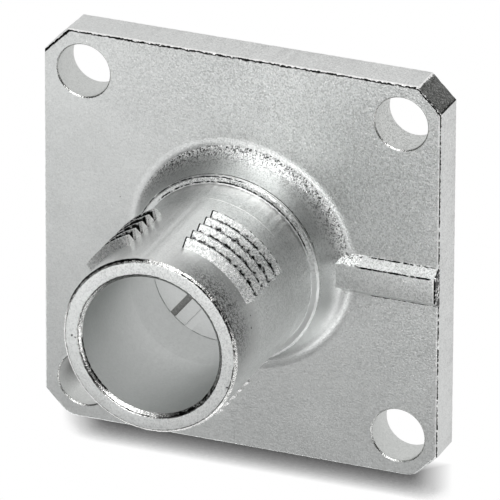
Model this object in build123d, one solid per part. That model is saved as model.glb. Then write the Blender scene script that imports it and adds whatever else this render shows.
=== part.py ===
from build123d import *

import os
from math import atan, degrees, pi, radians, tan

# Flange-mount housing of an M12 circular sensor connector, one zinc die casting.
# Origin: centre of the flange's back face, which lies against the panel.
# +Z runs along the barrel towards the mating face, +X towards the radial rib. Millimetres.

# Flange plate
flange_width = 25.0
flange_thickness = 2.5
corner_chamfer = 1.5
lower_corner_radius = 1.2
flange_edge_radius = 0.12

# Screw holes, their centres set in from the flange's edges
hole_edge_distance = 2.5
hole_diameter = 3.3
hole_edge_break = 0.08

# Flared foot and collar between flange and barrel
flare_foot_diameter = 14.2
flare_foot_radius = 1.0
flare_height = 2.3
collar_diameter = 11.9
collar_height = 2.55
collar_edge_chamfer = 0.12

# Barrel
barrel_length = 14.0
seal_seat_diameter = 11.0
seal_seat_length = 2.15
barrel_diameter = 10.9
rim_chamfer = 0.2

# Interrupted outside thread, M12 x 1, right hand
thread_diameter = 12.0
thread_pitch = 1.0
thread_turns = 5
thread_front_setback = 3.0
thread_crest_width = 0.16
thread_flank_angle = 60.0
thread_root_sink = 0.12
thread_start_angle = 80.0

# Each field of the thread as its first and last angle round the barrel, from +X
upper_right_field = (26.0, 80.0)
left_field = (114.5, 148.0)
lower_left_field = (206.0, 260.0)

# Radial rib on the flange
rib_height = 0.7
rib_foot_width = 2.5
rib_top_width = 1.5
rib_edge_radius = 0.08

# Through bore
bore_diameter = 8.55
bore_mouth_chamfer = 0.25
rear_bore_diameter = 8.2
rear_bore_depth = 6.0
rear_bore_chamfer = 0.25

# Keyways in the rear bore
keyway_angle = 225.7
keyway_width = 0.4
keyway_depth = 0.35
side_keyway_angle = 242.6
side_keyway_width = 0.5
side_keyway_depth = 0.1

# Places worked out from the sizes above
flange_front = flange_thickness
hole_spacing = flange_width - 2 * hole_edge_distance
mating_face = flange_front + barrel_length
foot_radius = flare_foot_diameter / 2
collar_radius = collar_diameter / 2
seat_radius = seal_seat_diameter / 2
barrel_radius = barrel_diameter / 2
thread_radius = thread_diameter / 2
bore_radius = bore_diameter / 2
rear_bore_radius = rear_bore_diameter / 2


def flange_plate():
    """Square plate with chamfered corners; the two lower ones run softly into the lower edge."""
    half = flange_width / 2
    cut = half - corner_chamfer
    outline = Polyline(
        (half, cut),
        (cut, half),
        (-cut, half),
        (-half, cut),
        (-half, -cut),
        (-cut, -half),
        (cut, -half),
        (half, -cut),
        close=True,
    )
    plate = extrude(make_face(outline), flange_thickness)
    lower = plate.edges().filter_by(Axis.Z).group_by(Axis.Y)[0]
    plate = fillet(lower, lower_corner_radius)
    rims = plate.faces().filter_by(Axis.Z).edges()
    return fillet(rims, flange_edge_radius)


def turned_body():
    """Flared foot, collar, seal seat and barrel, as one revolved half section."""
    shoulder = flange_front + collar_height
    seat_end = shoulder + seal_seat_length
    seat_step = seat_radius - barrel_radius
    # The flare is one arc that rises to stand upright under the collar; a smaller one softens its foot
    flare_run = foot_radius - collar_radius
    flare_radius = (flare_run**2 + flare_height**2) / (2 * flare_run)
    foot = (foot_radius, flange_front)
    apron = foot_radius + flare_foot_radius
    flare_top = (collar_radius, flange_front + flare_height)
    flare = RadiusArc(foot, flare_top, flare_radius)
    upper = Polyline(
        flare_top,
        (collar_radius, shoulder - collar_edge_chamfer),
        (collar_radius - collar_edge_chamfer, shoulder),
        (seat_radius, shoulder),
        (seat_radius, seat_end),
        (barrel_radius, seat_end + seat_step),
        (barrel_radius, mating_face - rim_chamfer),
        (barrel_radius - rim_chamfer, mating_face),
        (0, mating_face),
        (0, flange_front / 2),
        (apron, flange_front / 2),
        (apron, flange_front),
        foot,
    )
    section = make_face([flare, upper])
    corner = section.vertices().sort_by_distance(foot)[0]
    return revolve(Plane.XZ * fillet(corner, flare_foot_radius), axis=Axis.Z)


def thread_ridge(first_angle, last_angle, start_height):
    """One ridge of the thread within one field, as an arc turned to the thread's lead."""
    width = last_angle - first_angle
    middle = (first_angle + last_angle) / 2
    height = start_height + (middle - thread_start_angle) / 360 * thread_pitch
    inner = barrel_radius - thread_root_sink
    crest = thread_crest_width / 2
    root = crest + (thread_radius - inner) * tan(radians(thread_flank_angle / 2))
    section = Polyline(
        (inner, -root),
        (thread_radius, -crest),
        (thread_radius, crest),
        (inner, root),
        close=True,
    )
    ridge = revolve(Plane.XZ * make_face(section), axis=Axis.Z, revolution_arc=width)
    lead_angle = degrees(atan(thread_pitch / (2 * pi * thread_radius)))
    place = Pos(0, 0, height) * Rot(0, 0, middle) * Rot(lead_angle, 0, 0) * Rot(0, 0, -width / 2)
    return place * ridge


def thread_fields():
    """All ridges of the fields, on one continuous lead."""
    front = mating_face - thread_front_setback
    ridges = []
    for first_angle, last_angle in (upper_right_field, left_field, lower_left_field):
        for turn in range(thread_turns):
            ridges.append(thread_ridge(first_angle, last_angle, front - turn * thread_pitch))
    return ridges


def rib():
    """Raised rib with sloped sides, from the flare to the flange's edge."""
    inner = collar_radius
    outer = flange_width / 2
    section = Polyline(
        (-rib_foot_width / 2, -flange_front / 2),
        (rib_foot_width / 2, -flange_front / 2),
        (rib_foot_width / 2, 0),
        (rib_top_width / 2, rib_height),
        (-rib_top_width / 2, rib_height),
        (-rib_foot_width / 2, 0),
        close=True,
    )
    start = Plane(origin=(inner, 0, flange_front), x_dir=(0, 1, 0), z_dir=(1, 0, 0))
    solid = extrude(start * make_face(section), outer - inner)
    crown = solid.faces().sort_by(Axis.Z)[-1]
    outer_edge = crown.edges().filter_by(Axis.Y).sort_by(Axis.X)[-1]
    return fillet(crown.edges().filter_by(Axis.X) + [outer_edge], rib_edge_radius)


def bore():
    """Front bore, ledge, rear bore and both mouths, as one revolved cutter."""
    over = rear_bore_chamfer
    section = Polyline(
        (0, -over),
        (rear_bore_radius + rear_bore_chamfer + over, -over),
        (rear_bore_radius, rear_bore_chamfer),
        (rear_bore_radius, rear_bore_depth),
        (bore_radius, rear_bore_depth),
        (bore_radius, mating_face - bore_mouth_chamfer),
        (bore_radius + 2 * bore_mouth_chamfer, mating_face + bore_mouth_chamfer),
        (0, mating_face + bore_mouth_chamfer),
        close=True,
    )
    return revolve(Plane.XZ * make_face(section), axis=Axis.Z)


def keyway(angle, width, depth):
    """Axial slot in the rear bore's wall, open at the back and ending at the ledge."""
    reach = rear_bore_radius + depth
    slot = Box(reach, width, rear_bore_depth, align=(Align.MIN, Align.CENTER, Align.MIN))
    return Rot(0, 0, angle) * slot


def screw_hole():
    """Through hole with a broken edge at both faces."""
    radius = hole_diameter / 2
    outer = radius + 2 * hole_edge_break
    section = Polyline(
        (0, -hole_edge_break),
        (outer, -hole_edge_break),
        (radius, hole_edge_break),
        (radius, flange_thickness - hole_edge_break),
        (outer, flange_thickness + hole_edge_break),
        (0, flange_thickness + hole_edge_break),
        close=True,
    )
    return revolve(Plane.XZ * make_face(section), axis=Axis.Z)


def flange_housing():
    """The whole casting as one solid."""
    body = flange_plate() + turned_body() + rib()
    body += thread_fields()
    body -= bore()
    body -= keyway(keyway_angle, keyway_width, keyway_depth)
    body -= keyway(side_keyway_angle, side_keyway_width, side_keyway_depth)
    body -= [place * screw_hole() for place in GridLocations(hole_spacing, hole_spacing, 2, 2)]
    return body


os.makedirs("parts", exist_ok=True)
housing = flange_housing()
export_step(housing, "parts/flange_housing.step")
print("flange_housing", "solids", len(housing.solids()), "volume mm3", round(housing.volume, 1))
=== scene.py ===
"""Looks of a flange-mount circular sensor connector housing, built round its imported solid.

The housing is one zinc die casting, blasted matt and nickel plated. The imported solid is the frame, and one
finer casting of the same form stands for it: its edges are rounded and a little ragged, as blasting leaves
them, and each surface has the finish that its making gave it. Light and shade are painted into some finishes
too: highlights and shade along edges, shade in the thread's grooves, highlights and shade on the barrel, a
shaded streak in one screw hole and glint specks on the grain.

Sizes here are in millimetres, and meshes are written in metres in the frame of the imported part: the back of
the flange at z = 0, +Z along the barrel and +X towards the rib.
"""

from __future__ import annotations

import logging
import math
from dataclasses import dataclass
from enum import Enum

import bmesh
import bpy
from mathutils import Matrix, Vector, noise

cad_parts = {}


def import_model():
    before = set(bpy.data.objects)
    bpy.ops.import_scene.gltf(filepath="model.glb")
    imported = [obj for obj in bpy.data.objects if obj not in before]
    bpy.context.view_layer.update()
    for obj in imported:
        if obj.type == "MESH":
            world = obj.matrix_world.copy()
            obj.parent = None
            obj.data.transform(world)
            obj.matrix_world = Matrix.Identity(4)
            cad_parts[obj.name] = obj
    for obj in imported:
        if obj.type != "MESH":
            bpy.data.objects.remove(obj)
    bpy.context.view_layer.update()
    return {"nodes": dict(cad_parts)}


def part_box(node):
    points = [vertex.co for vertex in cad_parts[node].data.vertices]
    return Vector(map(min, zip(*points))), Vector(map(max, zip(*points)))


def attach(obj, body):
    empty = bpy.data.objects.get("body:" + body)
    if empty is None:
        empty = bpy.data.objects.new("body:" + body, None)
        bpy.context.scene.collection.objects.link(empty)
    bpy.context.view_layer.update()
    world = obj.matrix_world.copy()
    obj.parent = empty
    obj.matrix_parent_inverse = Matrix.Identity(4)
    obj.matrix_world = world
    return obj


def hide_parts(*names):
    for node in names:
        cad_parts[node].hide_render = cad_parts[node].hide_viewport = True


LOG = logging.getLogger("housing")
MM = 0.001
NODE = "flange_housing"
BODY = "root"

# Tones that several finishes share
# Pale of the bright grain, and of the painted highlights on edges, ridge ends, stubs, barrel and gate facet
PALE_GRAIN_AND_HIGHLIGHT = "#FFFFFE"
# Grey of dull grain, pits and handling marks, and of one painted edge-shade line round the rim
WORN_AND_EDGE_SHADE_GREY = "#4A4B49"
# Dark of nicks and dark grain, and of the painted dark edge line round the gate facet
NICK_AND_SHADE_DARK = "#1A1B1A"
# Dark of painted shade: in the thread's grooves, along the crests, on the barrel and in the lower left screw
# hole
PAINTED_SHADE_DARK = "#1C1D1C"
# Dark of the painted edge shade along the flange's front edges and round the collar, rim, mouth and rib
EDGE_SHADE_DARK = "#161716"

# The run that holds nearly all of a noise, and the narrower one that gives clouds their soft edges
NOISE_RUN = (0.3, 0.7)
CLOUD_RUN = (0.35, 0.65)

# Gap under which two points are one, in metres
MERGED = 1e-6

# Sizes that the casting and its finishes share
FACE = 2.5
CORNER_CUT = 1.5
CREST_RADIUS = 6.0
PITCH = 1.0
TURNS = 5
LEAD_START = 80.0

Point = tuple[float, float]
Corner = tuple[float, float, float]
Colour = tuple[float, float, float, float]


class Surface(Enum):
    """The surfaces of the casting, by how each was made."""

    SKIN = "blasted_nickel_skin"
    FLARE = "coarse_blasted_slopes"
    CREST = "blasted_thread_ridges"
    EDGE = "worn_edges"
    RIM = "faced_rim"
    BORE = "reamed_bore"
    LEDGE = "ledge_in_the_bore"
    KEYWAY = "broached_keyway"
    HOLE = "punched_screw_holes"
    GATE = "broken_gate_facet"


@dataclass(frozen=True)
class Field:
    """One field of the thread: its ends in degrees, its grooves' share and how far its ridges are sunk."""

    first: float
    last: float
    groove: float
    sunk: float = 0.0


FIELDS = (
    Field(first=26, last=80, groove=0.44),
    Field(first=114.5, last=148, groove=0.78),
    Field(first=206, last=260, groove=0.44),
    Field(first=303, last=310, groove=0.0, sunk=0.25),
)


def linear(hex_colour: str) -> Colour:
    """Turn an sRGB hex colour into linear values.

    Args:
        hex_colour: Six hex digits after a hash sign.

    Returns:
        Linear red, green and blue, with an alpha of 1.
    """
    parts = [int(hex_colour[i : i + 2], 16) / 255 for i in (1, 3, 5)]
    red, green, blue = (c / 12.92 if c <= 0.04045 else ((c + 0.055) / 1.055) ** 2.4 for c in parts)
    return (red, green, blue, 1.0)


def add(tree: bpy.types.NodeTree, kind: str, inputs: dict | None = None, **settings) -> dict:
    """Add a node with its settings, its set values and its links.

    Args:
        tree: The node tree that takes the node.
        kind: The node's type name.
        inputs: For each input, by name or number, a value, a wire or a list of wires.
        **settings: Attributes of the node itself, such as its mode.

    Returns:
        The node's outputs as wires, by name and by number.
    """
    node = tree.nodes.new(kind)
    for name, value in settings.items():
        setattr(node, name, value)
    for key, value in (inputs or {}).items():
        for source in value if isinstance(value, list) else [value]:
            if isinstance(source, Wire):
                tree.links.new(source.socket, node.inputs[key])
            else:
                node.inputs[key].default_value = source
    wires = {number: Wire(tree, socket) for number, socket in enumerate(node.outputs)}
    return {wire.socket.name: wire for wire in wires.values()} | wires


@dataclass(frozen=True, eq=False)
class Wire:
    """A value on its way through a node tree, which takes part in sums as a number does."""

    tree: bpy.types.NodeTree
    socket: bpy.types.NodeSocket

    def sum(self, operation: str, other: Wire | float = 0.0, swapped: bool = False) -> Wire:
        """Work out one sum.

        Args:
            operation: The sum's name.
            other: The second value, left out where the sum takes one.
            swapped: Whether the other value comes first.

        Returns:
            The result.
        """
        first, second = (other, self) if swapped else (self, other)
        return add(self.tree, "ShaderNodeMath", {0: first, 1: second}, operation=operation)[0]

    def __add__(self, other: Wire | float) -> Wire:
        """Add another value."""
        return self.sum("ADD", other)

    def __sub__(self, other: Wire | float) -> Wire:
        """Take another value away."""
        return self.sum("SUBTRACT", other)

    def __rsub__(self, other: float) -> Wire:
        """Take this value away from a number."""
        return self.sum("SUBTRACT", other, swapped=True)

    def __mul__(self, other: Wire | float) -> Wire:
        """Multiply by another value, which leaves what two zones share."""
        return self.sum("MULTIPLY", other)

    def __truediv__(self, other: Wire | float) -> Wire:
        """Divide by another value."""
        return self.sum("DIVIDE", other)

    def __rtruediv__(self, other: float) -> Wire:
        """Divide a number by this value."""
        return self.sum("DIVIDE", other, swapped=True)

    def __pow__(self, other: float) -> Wire:
        """Raise to a power."""
        return self.sum("POWER", other)

    def __abs__(self) -> Wire:
        """Drop the sign."""
        return self.sum("ABSOLUTE")

    def __lt__(self, other: Wire | float) -> Wire:
        """Give 1 where this value is the smaller one, and 0 elsewhere."""
        return self.sum("LESS_THAN", other)

    def __gt__(self, other: Wire | float) -> Wire:
        """Give 1 where this value is the larger one, and 0 elsewhere."""
        return self.sum("GREATER_THAN", other)

    def __and__(self, other: Wire | float) -> Wire:
        """Take the smaller of two values."""
        return self.sum("MINIMUM", other)

    def __or__(self, other: Wire | float) -> Wire:
        """Take the larger of two values, which joins two zones."""
        return self.sum("MAXIMUM", other)

    def ramp(self, low: float, high: float, first: float = 0.0, last: float = 1.0) -> Wire:
        """Turn a run of this value into another run, and hold it outside.

        Args:
            low: The value that gives the first result.
            high: The value that gives the last result.
            first: The result at low.
            last: The result at high.

        Returns:
            The result.
        """
        inputs = {"Value": self, "From Min": low, "From Max": high, "To Min": first, "To Max": last}
        return add(self.tree, "ShaderNodeMapRange", inputs)["Result"]

    def swing(self, low: float, high: float) -> Wire:
        """Spread the middle run of a noise between two results."""
        return self.ramp(*NOISE_RUN, low, high)

    def under(self, limit: float, soft: float) -> Wire:
        """Give 1 up to a limit in millimetres, and 0 once past it by a soft step."""
        return self.ramp(limit * MM, (limit + soft) * MM, 1.0, 0.0)

    def over(self, limit: float, soft: float) -> Wire:
        """Give 0 up to a limit in millimetres, and 1 once past it by a soft step."""
        return self.ramp(limit * MM, (limit + soft) * MM)

    def distance(self, other: Wire) -> Wire:
        """Work out how far this value and one at right angles to it lead together."""
        flat = add(self.tree, "ShaderNodeCombineXYZ", {"X": self, "Y": other})[0]
        return add(self.tree, "ShaderNodeVectorMath", {0: flat}, operation="LENGTH")["Value"]

    def pattern(self, kind: str, size: float, **inputs: float) -> dict:
        """Lay a pattern over this place.

        Args:
            kind: The pattern's node.
            size: The size of its features, in millimetres.
            **inputs: Its other inputs.

        Returns:
            The pattern's outputs as wires.
        """
        return add(self.tree, kind, {"Vector": self, "Scale": 1 / (size * MM), **inputs})

    def cloud(self, size: float) -> Wire:
        """Lay cloudy noise with features of one size, in millimetres, over this place."""
        return self.pattern("ShaderNodeTexNoise", size, Detail=2.0, Roughness=0.55)["Fac"]


# Where a layer of colour lies, from 0 to 1, and its colour
Layer = tuple[Wire, Colour]


@dataclass(frozen=True)
class Spot:
    """A place on the casting, read as a vector, by its parts and round the axis."""

    place: Wire
    across: Wire
    along: Wire
    height: Wire
    radius: Wire
    angle: Wire

    @classmethod
    def read(cls, place: Wire) -> Spot:
        """Read a place in every way.

        Args:
            place: The coordinates.

        Returns:
            The place, its angle running from 0 to a full turn in radians.
        """
        axes = add(place.tree, "ShaderNodeSeparateXYZ", {0: place})
        across, along, height = (axes[axis] for axis in "XYZ")
        angle = along.sum("ARCTAN2", across)
        turned = angle + (angle < 0.0) * math.tau
        return cls(place, across, along, height, across.distance(along), turned)


def start(block: bpy.types.Material | bpy.types.World) -> bpy.types.NodeTree:
    """Give a material or a world an empty node tree.

    Args:
        block: The material or the world.

    Returns:
        Its tree.
    """
    block.use_nodes = True
    block.node_tree.nodes.clear()
    return block.node_tree


def rounded(corners: list[Corner], steps: int = 4) -> list[Point]:
    """Round the corners of a path.

    Args:
        corners: Each corner as x, y and the radius of its rounding, 0 where it stays sharp.
        steps: Runs in each rounding.

    Returns:
        The points of the rounded path.
    """
    points: list[Point] = []
    for index, (x, y, radius) in enumerate(corners):
        if radius == 0:
            points.append((x, y))
            continue
        here = Vector((x, y))
        back = (Vector(corners[index - 1][:2]) - here).normalized()
        ahead = (Vector(corners[(index + 1) % len(corners)][:2]) - here).normalized()
        half = back.angle(ahead) / 2
        centre = here + (back + ahead).normalized() * radius / math.sin(half)
        first = here + back * radius / math.tan(half) - centre
        last = here + ahead * radius / math.tan(half) - centre
        turn = math.pi - 2 * half
        for step in range(steps + 1):
            part = step / steps * turn
            spoke = (first * math.sin(turn - part) + last * math.sin(part)) / math.sin(turn)
            points.append(tuple(centre + spoke))
    return points


def subdivided(points: list[Point], spacing: float) -> list[Point]:
    """Add even points along the runs of a closed path.

    Args:
        points: The path's points.
        spacing: The widest gap left between two points.

    Returns:
        The denser path.
    """
    dense: list[Point] = []
    for index, (x, y) in enumerate(points):
        ahead = points[(index + 1) % len(points)]
        count = max(1, math.ceil(math.dist((x, y), ahead) / spacing))
        dense += [(x + (ahead[0] - x) * i / count, y + (ahead[1] - y) * i / count) for i in range(count)]
    return dense


def object_of(data: bpy.types.ID, name: str) -> bpy.types.Object:
    """Give a mesh, curve, lamp or camera an object at the origin, linked into the scene.

    Args:
        data: The mesh, curve, lamp or camera.
        name: The object's name.

    Returns:
        The new object.
    """
    item = bpy.data.objects.new(name, data)
    bpy.context.scene.collection.objects.link(item)
    return item


def path_object(name: str, points: list[Point], closed: bool) -> bpy.types.Object:
    """Draw a section as a path, for a node tree to revolve or sweep.

    Args:
        name: The helper object's name.
        points: The section's points, in millimetres.
        closed: Whether the last point joins the first.

    Returns:
        An object with the section as a poly curve, in metres.
    """
    curve = bpy.data.curves.new(name, "CURVE")
    spline = curve.splines.new("POLY")
    spline.points.add(len(points) - 1)
    for place, (x, y) in zip(spline.points, points):
        place.co = (x * MM, y * MM, 0, 1)
    spline.use_cyclic_u = closed
    return object_of(curve, name)


def loft(name: str, rings: list[list[Vector]]) -> bpy.types.Object:
    """Skin closed rings of equal length and cap both ends.

    Args:
        name: The object's name.
        rings: Rings of points in millimetres, each in the same order round.

    Returns:
        An object with the closed mesh, its faces outwards.
    """
    shape = bmesh.new()
    loops = [[shape.verts.new(point * MM) for point in ring] for ring in rings]
    for low, high in zip(loops, loops[1:]):
        for i in range(len(low)):
            j = (i + 1) % len(low)
            shape.faces.new((low[i], low[j], high[j], high[i]))
    shape.faces.new(reversed(loops[0]))
    shape.faces.new(loops[-1])
    bmesh.ops.recalc_face_normals(shape, faces=shape.faces)
    mesh = bpy.data.meshes.new(name)
    shape.to_mesh(mesh)
    shape.free()
    return object_of(mesh, name)


def new_tree(name: str, values: dict[str, object]) -> tuple[bpy.types.NodeTree, dict[str, Wire]]:
    """Start a geometry tree with named inputs.

    Args:
        name: The tree's name.
        values: Each input's name with a value of its kind.

    Returns:
        The tree, and its inputs as wires by name.
    """
    kinds = {
        float: "NodeSocketFloat",
        int: "NodeSocketInt",
        bpy.types.Object: "NodeSocketObject",
        bpy.types.Material: "NodeSocketMaterial",
    }
    tree = bpy.data.node_groups.new(name, "GeometryNodeTree")
    for label, value in values.items():
        kind = next(socket for known, socket in kinds.items() if isinstance(value, known))
        tree.interface.new_socket(label, in_out="INPUT", socket_type=kind)
    tree.interface.new_socket("Geometry", in_out="OUTPUT", socket_type="NodeSocketGeometry")
    return tree, add(tree, "NodeGroupInput")


def run_tree(tree: bpy.types.NodeTree, name: str, values: dict[str, object]) -> bpy.types.Object:
    """Run a geometry tree once and keep its result as a plain mesh.

    Args:
        tree: The tree to run.
        name: The name of the new mesh and its object.
        values: The value of each named input.

    Returns:
        An object with the evaluated mesh, and no modifier left on it.
    """
    carrier = object_of(bpy.data.meshes.new(name), name)
    modifier = carrier.modifiers.new(name, "NODES")
    modifier.node_group = tree
    for socket in tree.interface.items_tree:
        if socket.in_out == "INPUT":
            modifier[socket.identifier] = values[socket.name]
    graph = bpy.context.evaluated_depsgraph_get()
    mesh = bpy.data.meshes.new_from_object(carrier.evaluated_get(graph))
    mesh.name = name
    bpy.data.objects.remove(carrier)
    return object_of(mesh, name)


@dataclass(frozen=True)
class Mark:
    """A small scratch, nick or speck that handling left on the casting, or a small painted highlight."""

    place: tuple[float, float, float]
    radius: float
    colour: str = WORN_AND_EDGE_SHADE_GREY
    core: float = 0.7

    def layer(self, spot: Spot, uneven: Wire) -> Layer:
        """Draw the mark.

        Args:
            spot: The place to colour.
            uneven: The noise that frays the mark.

        Returns:
            The mark's layer.
        """
        inputs = {0: spot.place, 1: tuple(part * MM for part in self.place)}
        away = add(uneven.tree, "ShaderNodeVectorMath", inputs, operation="DISTANCE")["Value"]
        near = (away * uneven).under(self.core * self.radius, (1 - self.core) * self.radius)
        return near, linear(self.colour)


@dataclass(frozen=True)
class Ring:
    """A ragged line painted along an edge, round the axis from one angle to another: a dark one paints the
    edge's shade, a pale one its highlight.

    A straight one runs along X instead, from one place to another, with its distance from the axis along Y.
    """

    radius: float
    height: float
    width: float
    straight: bool = False
    first: float = 0.0
    last: float = 360.0
    break_share: float = 0.2
    colour: str = EDGE_SHADE_DARK
    thinnest: float = 0.4
    widest: float = 1.6
    soft: float = 0.01
    break_from: float = 0.25
    break_rise: float = 0.3
    break_soft: float = 0.05
    fade: float = 0.1
    straight_fade: float = 0.005

    def layer(self, spot: Spot, ragged: Wire) -> Layer:
        """Draw the line.

        Args:
            spot: The place to colour.
            ragged: The noise that frays and breaks the line.

        Returns:
            The line's layer.
        """
        aside, run, fade = spot.radius, spot.angle, self.fade
        if self.straight:
            aside, fade = spot.along, self.straight_fade
            run = spot.across * (math.radians(1) / MM)
        away = (aside - self.radius * MM).distance(spot.height - self.height * MM)
        frayed = ragged.swing(self.thinnest * self.width * MM, self.widest * self.width * MM)
        broken = self.break_from + self.break_rise * self.break_share
        whole = ragged.ramp(broken, broken + self.break_soft)
        line = (away - frayed).under(-self.soft, 2 * self.soft) * whole
        if self.last - self.first < 360:
            first, last = math.radians(self.first), math.radians(self.last)
            line = line * run.ramp(first, first + fade) * run.ramp(last - fade, last, 1.0, 0.0)
        return line, linear(self.colour)


@dataclass(frozen=True)
class PaintedLightBand:
    """A soft band round the axis, strongest at one height and gone at another: a pale one is a painted
    highlight, a dark one painted shade.
    """

    middle: float
    half_width: float
    strong: float
    gone: float
    share: float
    colour: str
    grained: float = 0.0
    reach: float = 5.7
    core: float = 0.3

    def layer(self, spot: Spot, crystal: Wire) -> Layer:
        """Lay the band.

        Args:
            spot: The place to colour.
            crystal: The grain that a grained band follows.

        Returns:
            The band's layer.
        """
        facing = (spot.angle - math.radians(self.middle)).sum("COSINE")
        edge, core = (math.cos(math.radians(part * self.half_width)) for part in (1.0, self.core))
        share = facing.ramp(edge, core) * self.share * spot.height.ramp(self.gone * MM, self.strong * MM)
        share = share * (spot.radius < self.reach * MM)
        return share * crystal.ramp(*CLOUD_RUN, 1.0 - self.grained), linear(self.colour)


@dataclass(frozen=True)
class Dots:
    """Round dots over a share of even cells."""

    spacing: float
    share: float
    radius: float = 0.05
    core: float = 0.5
    rim: float = 1.2

    def over(self, place: Wire) -> Wire:
        """Scatter the dots.

        Args:
            place: The coordinates to read.

        Returns:
            1 in a dot and 0 between dots.
        """
        cells = place.pattern("ShaderNodeTexVoronoi", self.spacing)
        size = self.radius / self.spacing
        dots = cells["Distance"].ramp(self.core * size, self.rim * size, 1.0, 0.0)
        return dots * (cells["Color"] < self.share)


@dataclass(frozen=True)
class GrooveShadeLines:
    """Painted shade: the dark ragged lines in the grooves between the thread's ridges."""

    front: float = 13.5
    swing: float = 0.07
    soft: float = 0.06
    colour: str = PAINTED_SHADE_DARK

    def turn(self, spot: Spot) -> Wire:
        """Tell how many ridges in front of the first one a place lies.

        Args:
            spot: The place.

        Returns:
            0 along the first ridge, -1 along the second, and so on.
        """
        rise = (spot.height - self.front * MM) / (PITCH * MM)
        return rise - (spot.angle - math.radians(LEAD_START)) / math.tau

    def off_crest(self, spot: Spot) -> Wire:
        """Tell how far a place lies from the groove's middle, 0.5 being a crest."""
        return abs(self.turn(spot).sum("FRACT") - 0.5)

    def layer(self, spot: Spot, ragged: Wire) -> Layer:
        """Draw the lines.

        Args:
            spot: The place to colour.
            ragged: The noise that frays the lines.

        Returns:
            The lines' layer.
        """
        turn = self.turn(spot)
        wide = self.off_crest(spot) + ragged.swing(-self.swing, self.swing)
        lines: Wire | float = 0.0
        for field in FIELDS:
            if field.groove > 0:
                line = wide.ramp(field.groove / 2, field.groove / 2 + self.soft, 1.0, 0.0)
                line = line * (spot.angle > math.radians(field.first))
                lines = line * (spot.angle < math.radians(field.last)) | lines
        within = (turn < 0.0) * (turn > 1.0 - TURNS)
        return lines * within, linear(self.colour)


@dataclass(frozen=True)
class NickelFinish:
    """Nickel plating on die-cast zinc, from the way in which the surface under it was made.

    Nickel follows the metal under it, so the grain is the blasting's or the tool's own. A grain too fine for
    the picture is drawn at about two of its pixels, which are 0.06 mm wide on the part.
    """

    surface: Surface
    colour: str = "#D8DAD9"
    bright: str = PALE_GRAIN_AND_HIGHLIGHT
    dull: str = WORN_AND_EDGE_SHADE_GREY
    roughness: float = 0.34
    roughness_spread: float = 0.06
    grain: float = 0.075
    grain_depth: float = 0.02
    grain_stretch: float = 1.3
    dull_share: float = 0.3
    dull_run: tuple[float, float] = (0.48, 0.22)
    bright_share: float = 0.3
    bright_run: tuple[float, float] = (0.52, 0.78)
    strength_from: float = -3.0
    strength_to: float = 12.0
    strength_least: float = 0.3
    dimple: float = 0.5
    dimple_depth: float = 0.005
    mottle: float = 3.2
    mottle_tone: float = 0.06
    # Pale specks that paint glints on the grain
    glint_specks: Dots | None = None
    pits: Dots = Dots(spacing=1.1, share=0.12)
    marks: tuple[Mark, ...] = ()
    mark_fraying: tuple[float, float] = (0.5, 1.5)
    painted_light_bands: tuple[PaintedLightBand, ...] = ()
    rings: tuple[Ring, ...] = ()
    ring_grain: float = 0.22

    def material(self) -> bpy.types.Material:
        """Build the finish.

        Returns:
            The material, which reads Object coordinates only.
        """
        material = bpy.data.materials.new(self.surface.value)
        tree = start(material)
        spot = Spot.read(add(tree, "ShaderNodeTexCoord")["Object"])
        grain = spot.place.cloud(self.grain_stretch * self.grain)
        force = self.grain_strength(spot)
        dimples = {"Height": spot.place.cloud(self.dimple), "Distance": self.dimple_depth * MM}
        grains = {
            "Height": grain,
            "Distance": force * (self.grain_depth * MM),
            "Normal": add(tree, "ShaderNodeBump", dimples)["Normal"],
        }
        rough = grain.swing(self.roughness - self.roughness_spread, self.roughness + self.roughness_spread)
        colour: Wire | Colour = linear(self.colour)
        for share, shade in self.tones(spot, force) + self.marked(spot):
            colour = add(tree, "ShaderNodeMix", {0: share, 6: colour, 7: shade}, data_type="RGBA")[2]
        plating = {
            "Base Color": colour,
            "Metallic": 1.0,
            "Roughness": rough,
            "Normal": add(tree, "ShaderNodeBump", grains)["Normal"],
        }
        shader = add(tree, "ShaderNodeBsdfPrincipled", plating)["BSDF"]
        add(tree, "ShaderNodeOutputMaterial", {"Surface": shader})
        return material

    def grain_strength(self, spot: Spot) -> Wire:
        """Tell how strong the grain is here: strongest towards the +X +Y corner.

        Args:
            spot: The place.

        Returns:
            1 where the grain is strongest, less on the far side.
        """
        reach = spot.across + spot.along
        return reach.ramp(self.strength_from * MM, self.strength_to * MM, self.strength_least, 1.0)

    def tones(self, spot: Spot, force: Wire) -> list[Layer]:
        """Vary the plating's tone by its mottling, grain, painted glint specks and pits.

        Args:
            spot: The place to colour.
            force: How strong the grain is here.

        Returns:
            Their layers, the lowest first.
        """
        shaded = (*(part * (1 - self.mottle_tone) for part in linear(self.colour)[:3]), 1.0)
        crystal = self.grain_place(spot).pattern("ShaderNodeTexVoronoi", self.grain)["Color"]
        hollow = crystal.ramp(*self.dull_run) * self.dull_share
        proud = crystal.ramp(*self.bright_run) * self.bright_share
        layers = [
            (spot.place.cloud(self.mottle).ramp(*CLOUD_RUN), shaded),
            (hollow * force, linear(self.dull)),
            (proud * force, linear(self.bright)),
        ]
        if self.glint_specks:
            layers.append((self.glint_specks.over(spot.place) * force, linear(self.bright)))
        return [*layers, (self.pits.over(spot.place), linear(self.dull))]

    def grain_place(self, spot: Spot) -> Wire:
        """Give the coordinates that the grain is laid out in."""
        return spot.place

    def marked(self, spot: Spot) -> list[Layer]:
        """Draw the marks, among them painted highlights, the bands of painted light and shade, and the ragged
        lines of painted edge shade and highlights.

        Args:
            spot: The place to colour.

        Returns:
            Their layers, the lowest first.
        """
        uneven = spot.place.cloud(self.grain).swing(*self.mark_fraying)
        crystal = spot.place.pattern("ShaderNodeTexVoronoi", self.grain)["Color"]
        ragged = spot.place.cloud(self.ring_grain)
        groups = ((self.marks, uneven), (self.painted_light_bands, crystal), (self.rings, ragged))
        return [item.layer(spot, texture) for items, texture in groups for item in items]


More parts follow.
